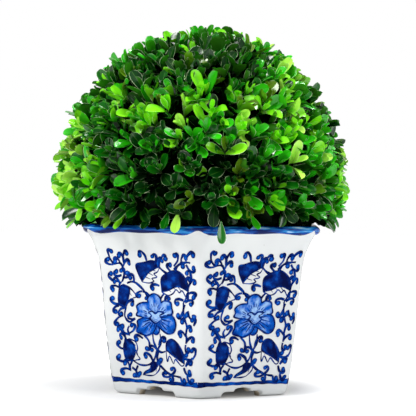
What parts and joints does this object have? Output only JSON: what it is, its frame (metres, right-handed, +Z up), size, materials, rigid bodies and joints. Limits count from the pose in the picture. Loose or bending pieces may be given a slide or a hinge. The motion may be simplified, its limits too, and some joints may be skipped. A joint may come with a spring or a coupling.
{
  "type": "box topiary ball in a glazed hexagonal planter",
  "caption": "Clipped box shrub grown as a leafy ball, with its short stem and soil, in a white glazed hexagonal planter painted with blue flowers, leaves and tendrils under a wavy blue lip.",
  "frame": {"origin": "centre of the pot's foot, on the plane it stands on, under the middle of the whole plant", "axes": "+Z up; one corner of the pot points along -Y and the middle of one of its sides faces +X"},
  "size_m": [0.3014, 0.3022, 0.3646],
  "materials": {
    "glaze_white": "gloss",
    "cobalt_paint": "gloss",
    "rim_blue": "gloss",
    "bare_clay": "matte",
    "soil": "matte",
    "bark": "matte",
    "leaf_green": "satin"
  },
  "bodies": {
    "root": {"pot": "glaze_white", "soil": "soil", "stem": "bark", "foliage": "leaf_green"}
  },
  "joints": []
}
